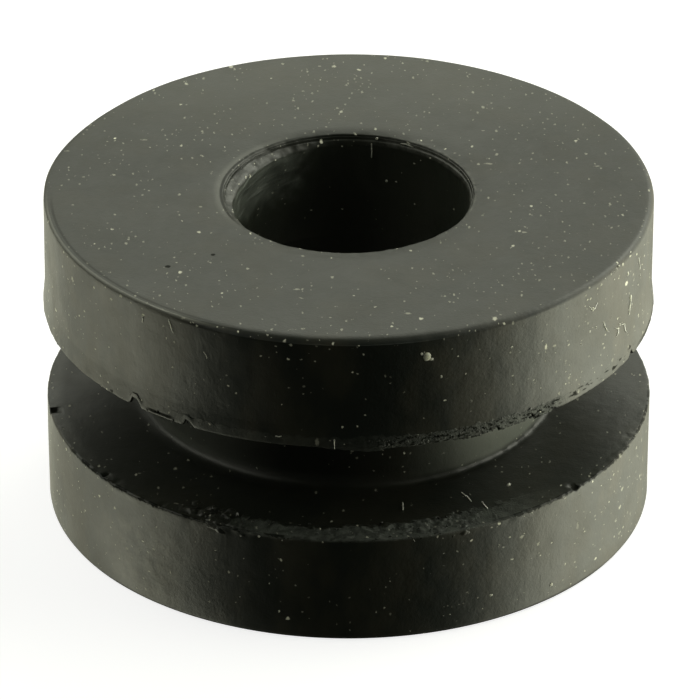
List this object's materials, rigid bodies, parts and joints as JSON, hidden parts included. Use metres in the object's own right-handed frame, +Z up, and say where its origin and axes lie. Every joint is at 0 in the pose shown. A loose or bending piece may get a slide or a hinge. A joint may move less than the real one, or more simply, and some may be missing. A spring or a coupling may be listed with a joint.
{
  "type": "rubber grommet",
  "caption": "Round rubber grommet: thick flanges, a groove between them that holds a panel's edge, and a plain through bore for a sleeve, bolt or cable.",
  "frame": {"origin": "centre of the lower end face", "axes": "+Z up the bore, from the lower end face to the upper one; the part is the same all round, so +X and +Y are free"},
  "size_m": [0.0252, 0.0252, 0.0139],
  "materials": {
    "rubber": "satin, with pale dust"
  },
  "bodies": {
    "root": {"grommet": "rubber"}
  },
  "joints": []
}
